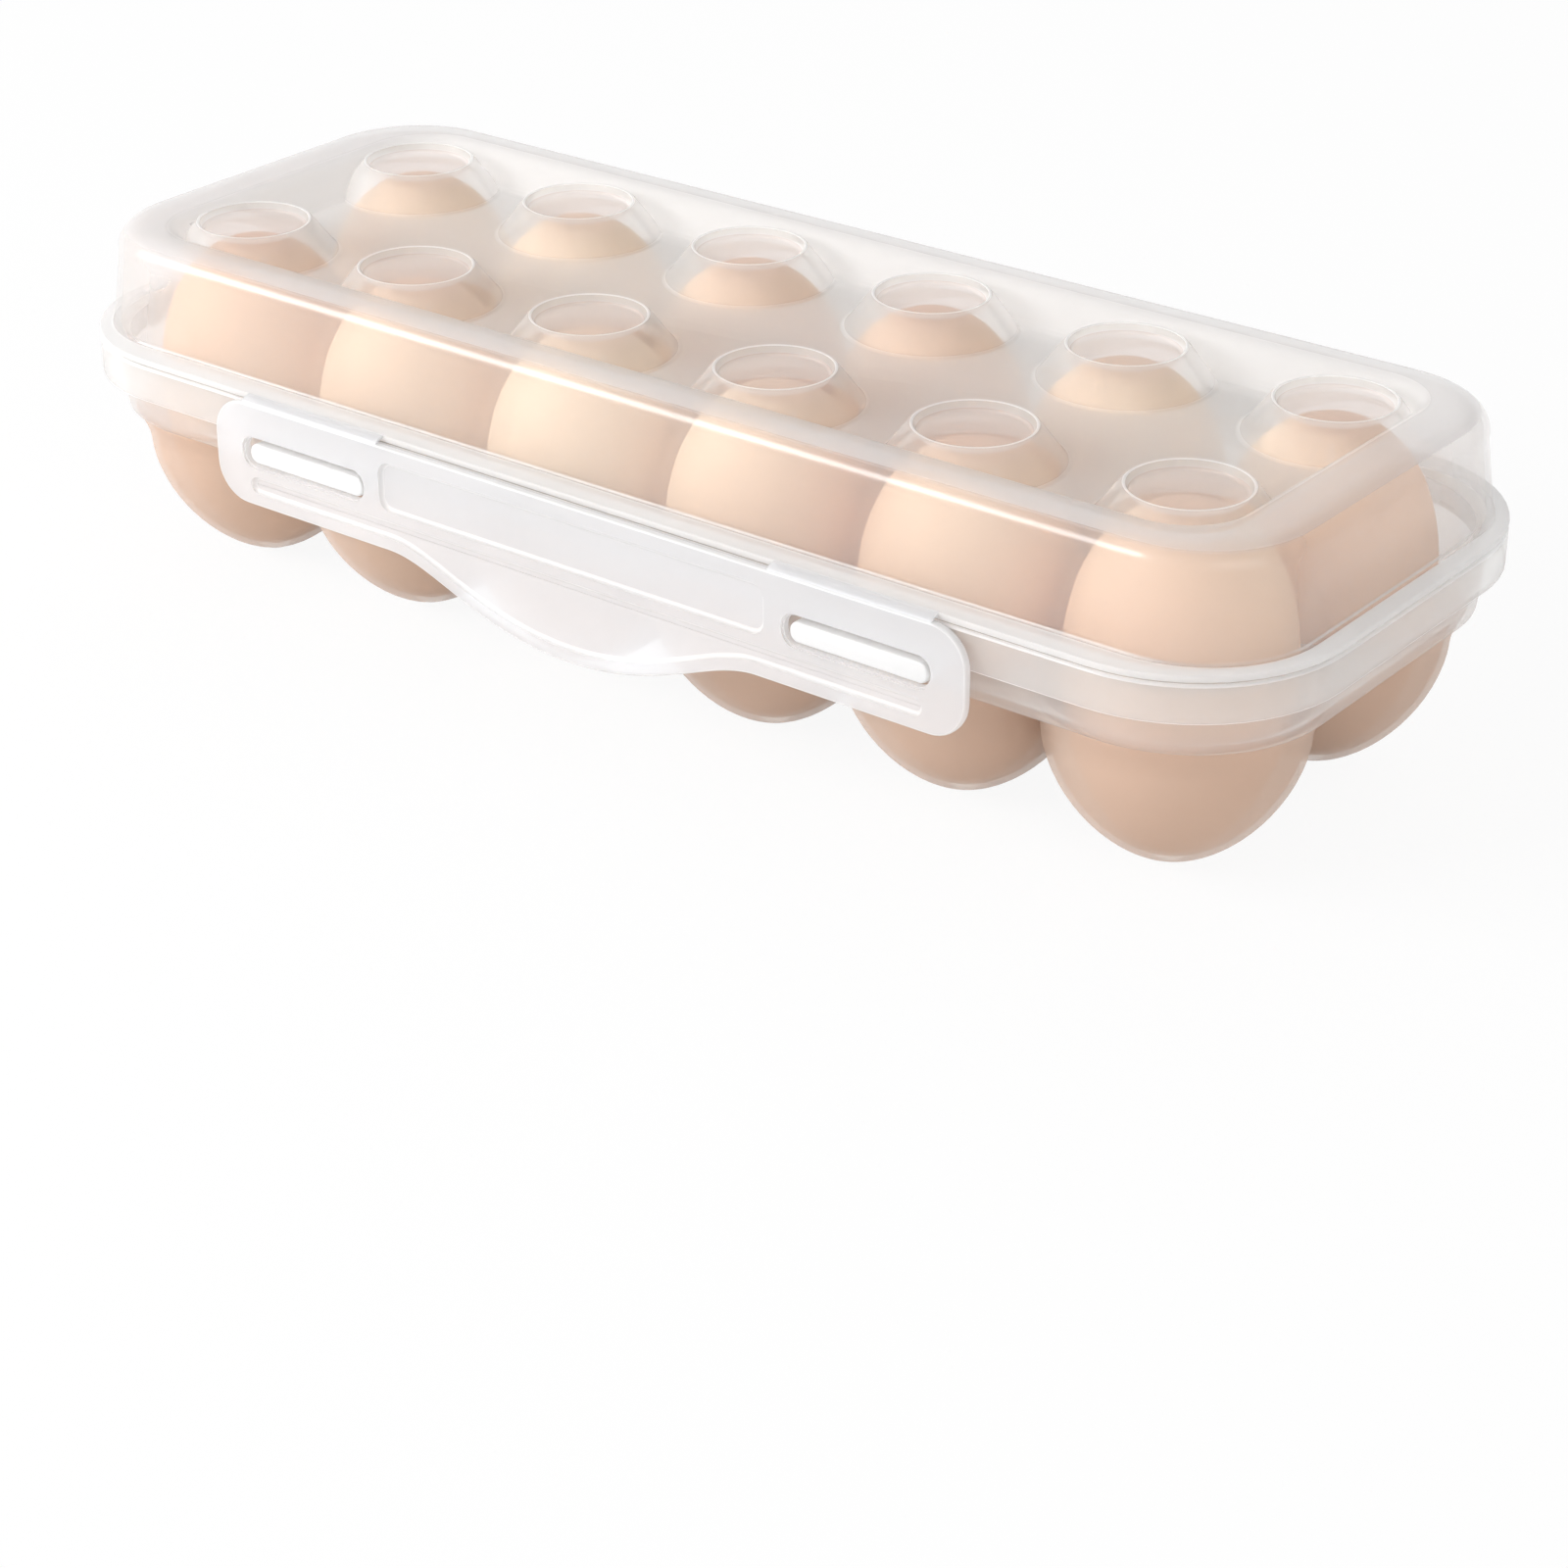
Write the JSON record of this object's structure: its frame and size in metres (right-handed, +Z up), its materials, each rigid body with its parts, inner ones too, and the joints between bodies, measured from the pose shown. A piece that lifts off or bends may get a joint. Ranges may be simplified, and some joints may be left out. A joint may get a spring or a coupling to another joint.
{
  "type": "egg storage box",
  "caption": "Translucent moulded egg storage box: a tray of egg cups, a hinged lid with a dished boss over each egg, and a front latch with a finger tab.",
  "frame": {"origin": "centre of the box's footprint, latch and hinges included, on the plane of the cups' feet", "axes": "+X along the length, towards the right end seen from the latch; +Y towards the hinges; +Z up"},
  "size_m": [0.303, 0.129, 0.0756],
  "materials": {
    "tray_plastic": "frosted translucent polypropylene",
    "lid_plastic": "frosted translucent polypropylene with polished clear dishes on the bosses",
    "latch_plastic": "frosted translucent polypropylene",
    "eggshell": "matte pale brown eggshell with faint mottling"
  },
  "bodies": {
    "tray": {"tray": "tray_plastic", "catch_bar_left": "tray_plastic", "catch_bar_right": "tray_plastic", "egg_front_1": "eggshell", "egg_front_2": "eggshell", "egg_front_3": "eggshell", "egg_front_4": "eggshell", "egg_front_5": "eggshell", "egg_front_6": "eggshell", "egg_rear_1": "eggshell", "egg_rear_2": "eggshell", "egg_rear_3": "eggshell", "egg_rear_4": "eggshell", "egg_rear_5": "eggshell", "egg_rear_6": "eggshell"},
    "lid": {"lid": "lid_plastic", "latch_web_left": "latch_plastic", "latch_web_right": "latch_plastic"},
    "latch": {"latch": "latch_plastic"}
  },
  "joints": [
    {"name": "lid_hinge", "type": "hinge", "parent": "tray", "child": "lid", "pos_m": [0, 0.0614, 0.0505], "axis": [-1, 0, 0], "range_deg": [0, 180]},
    {"name": "latch_hinge", "type": "hinge", "parent": "lid", "child": "latch", "pos_m": [0, -0.0633, 0.05305], "axis": [-1, 0, 0], "range_deg": [0, 135]}
  ]
}
